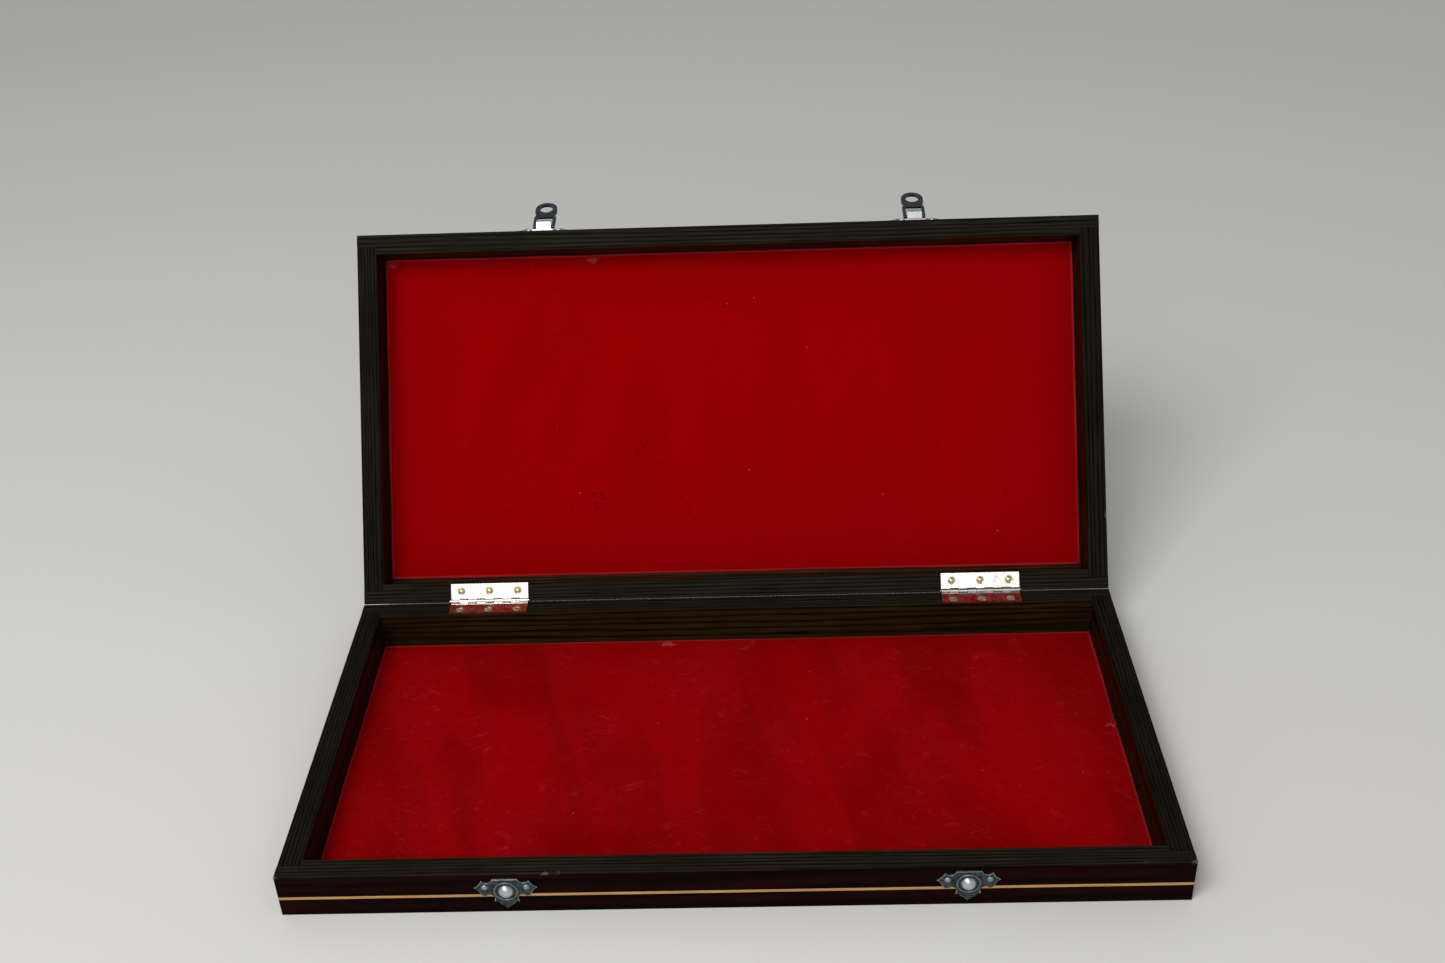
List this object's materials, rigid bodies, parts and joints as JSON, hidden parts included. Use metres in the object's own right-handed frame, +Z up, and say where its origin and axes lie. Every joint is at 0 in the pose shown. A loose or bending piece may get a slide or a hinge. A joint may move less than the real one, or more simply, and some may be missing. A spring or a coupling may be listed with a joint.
{
  "type": "presentation case",
  "caption": "Shallow hinged wooden presentation case with velvet-lined trays, inlaid rails, knuckle hinges at the back and swinging hasps that close over domed studs.",
  "frame": {"origin": "middle of the lower tray's underside", "axes": "+X to the right along the long side, +Y from the front to the hinges, +Z up"},
  "size_m": [0.4, 0.3417, 0.1949],
  "materials": {
    "stained_rail": "dark stain under worn satin lacquer",
    "stained_panel": "dark stain under satin lacquer",
    "pale_inlay": "pale stringing under lacquer",
    "red_velvet": "short-pile velvet",
    "nickel_leaf": "bright nickel plate",
    "hinge_wire": "bright nickel plate",
    "brass_nail": "polished brass",
    "catch_plate": "dull zinc plate",
    "polished_stud": "polished by use",
    "bright_loop": "bright plate",
    "hasp_metal": "worn zinc plate",
    "plate_nail": "zinc plate"
  },
  "bodies": {
    "base": {"base_front_rail": "stained_rail", "base_back_rail": "stained_rail", "base_left_rail": "stained_rail", "base_right_rail": "stained_rail", "base_panel": "stained_panel", "base_lining": "red_velvet", "base_front_inlay": "pale_inlay", "base_back_inlay": "pale_inlay", "base_left_inlay": "pale_inlay", "base_right_inlay": "pale_inlay", "left_hinge_base_leaf": "nickel_leaf", "left_hinge_pin": "hinge_wire", "left_catch_plate": "catch_plate", "left_catch_stud": "polished_stud", "right_hinge_base_leaf": "nickel_leaf", "right_hinge_pin": "hinge_wire", "right_catch_plate": "catch_plate", "right_catch_stud": "polished_stud", "base_hinge_nails": "brass_nail", "catch_nails": "plate_nail"},
    "lid": {"lid_front_rail": "stained_rail", "lid_back_rail": "stained_rail", "lid_left_rail": "stained_rail", "lid_right_rail": "stained_rail", "lid_panel": "stained_panel", "lid_lining": "red_velvet", "lid_front_inlay": "pale_inlay", "lid_back_inlay": "pale_inlay", "lid_left_inlay": "pale_inlay", "lid_right_inlay": "pale_inlay", "left_hinge_lid_leaf": "nickel_leaf", "left_hasp_plate": "catch_plate", "left_hasp_loop": "bright_loop", "right_hinge_lid_leaf": "nickel_leaf", "right_hasp_plate": "catch_plate", "right_hasp_loop": "bright_loop", "lid_hinge_nails": "brass_nail", "hasp_plate_nails": "plate_nail"},
    "left_hasp": {"left_hasp": "hasp_metal"},
    "right_hasp": {"right_hasp": "hasp_metal"}
  },
  "joints": [
    {"name": "lid_hinge", "type": "hinge", "parent": "base", "child": "lid", "pos_m": [0, 0.09935, 0.0243], "axis": [1, 0, 0], "range_deg": [0, 123.28]},
    {"name": "left_hasp_swing", "type": "hinge", "parent": "lid", "child": "left_hasp", "pos_m": [-0.099, 0.21559, 0.19014], "axis": [1, 0, 0], "range_deg": [-46, 139.2]},
    {"name": "right_hasp_swing", "type": "hinge", "parent": "lid", "child": "right_hasp", "pos_m": [0.1023, 0.21559, 0.19014], "axis": [1, 0, 0], "range_deg": [-46, 139.2]}
  ]
}
